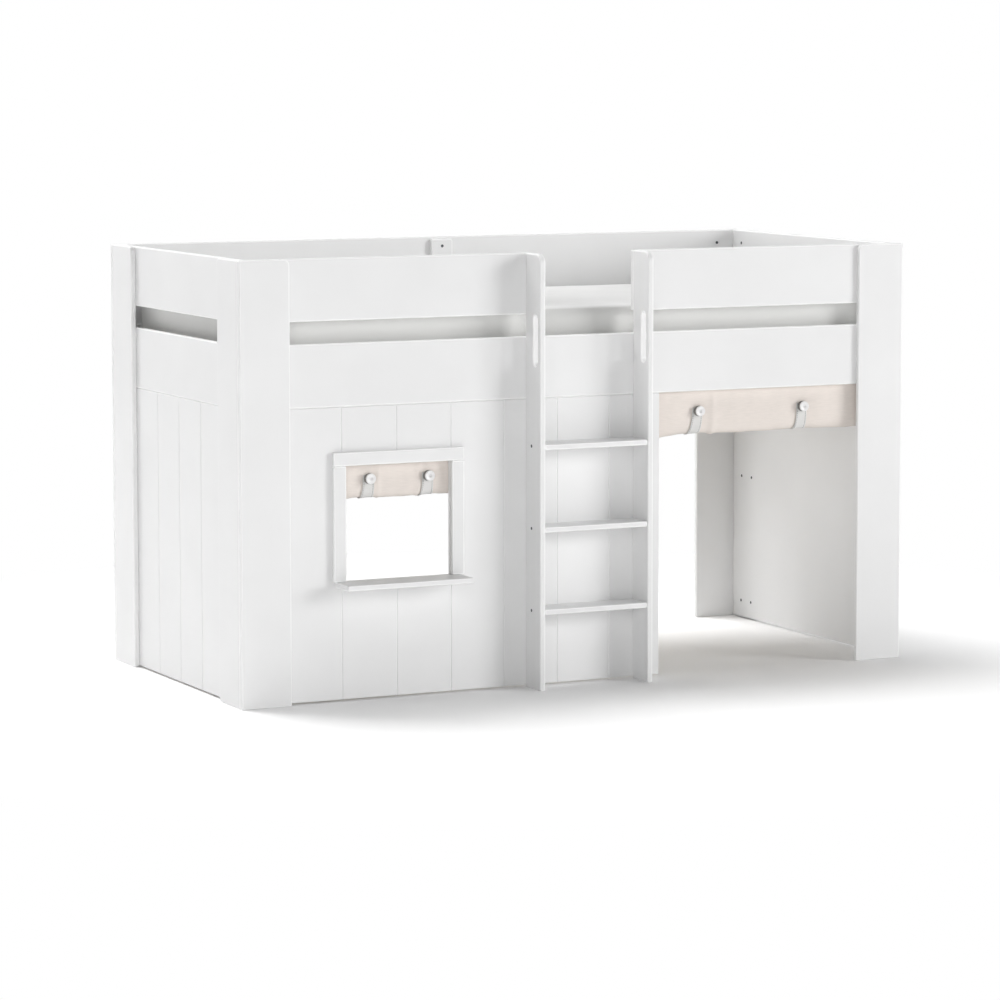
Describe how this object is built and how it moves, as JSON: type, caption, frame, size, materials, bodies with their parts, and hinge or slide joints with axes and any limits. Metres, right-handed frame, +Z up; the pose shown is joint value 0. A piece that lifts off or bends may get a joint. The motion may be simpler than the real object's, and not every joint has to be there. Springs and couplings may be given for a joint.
{
  "type": "cabin bed",
  "caption": "Mid-height cabin bed with ladder, guard boards, grooved panel with a window, den entrance, rolled curtains, slats and mattress.",
  "frame": {"origin": "on the floor, under the middle of the whole bed with its ladder", "axes": "+X along the bed's length to the den entrance, -Y towards the ladder side, +Z up"},
  "size_m": [2.092, 1.07, 1.225],
  "materials": {
    "white_lacquer": "white satin lacquer on board",
    "mattress_cover": "white woven cover",
    "pine": "planed, untreated",
    "cotton": "plain woven cotton",
    "grey_web": "woven tape",
    "button_plastic": "satin white",
    "zinc": "zinc plated",
    "beech": "plain, fluted dowels simplified to plain ones"
  },
  "bodies": {
    "bedstead": {"post_front_left_face": "white_lacquer", "post_front_left_side": "white_lacquer", "post_front_right_face": "white_lacquer", "post_front_right_side": "white_lacquer", "post_back_left_face": "white_lacquer", "post_back_left_side": "white_lacquer", "post_back_right_face": "white_lacquer", "post_back_right_side": "white_lacquer", "front_guard_left": "white_lacquer", "front_guard_right": "white_lacquer", "front_rail": "white_lacquer", "front_panel": "white_lacquer", "back_guard": "white_lacquer", "back_rail": "white_lacquer", "back_strut": "white_lacquer", "end_guard_left": "white_lacquer", "end_rail_left": "white_lacquer", "end_panel_left": "white_lacquer", "end_guard_right": "white_lacquer", "end_rail_right": "white_lacquer", "end_panel_right": "white_lacquer", "ladder_stile_left": "white_lacquer", "ladder_stile_right": "white_lacquer", "tread_low": "white_lacquer", "tread_middle": "white_lacquer", "tread_high": "white_lacquer", "window_header": "white_lacquer", "window_jamb_left": "white_lacquer", "window_jamb_right": "white_lacquer", "window_sill": "white_lacquer", "slat_batten_front": "pine", "slat_batten_back": "pine", "slats": "pine", "slat_webbing": "grey_web", "den_curtain": "cotton", "den_curtain_tape": "grey_web", "den_curtain_straps": "grey_web", "den_curtain_buttons": "button_plastic", "window_curtain": "cotton", "window_curtain_tape": "grey_web", "window_curtain_straps": "grey_web", "window_curtain_buttons": "button_plastic", "end_panel_screws": "zinc", "end_board_screws": "zinc", "side_board_screws": "zinc", "stile_screws": "zinc", "tread_screws": "zinc", "strut_screws": "zinc", "batten_screws": "zinc", "window_screws": "zinc", "slat_screws": "zinc", "post_dowels": "beech", "tread_dowels": "beech"},
    "mattress": {"mattress": "mattress_cover"}
  },
  "joints": [
    {"name": "mattress_lift", "type": "slide", "parent": "bedstead", "child": "mattress", "axis": [0, 0, 1], "range_m": [0, 0.32]}
  ]
}
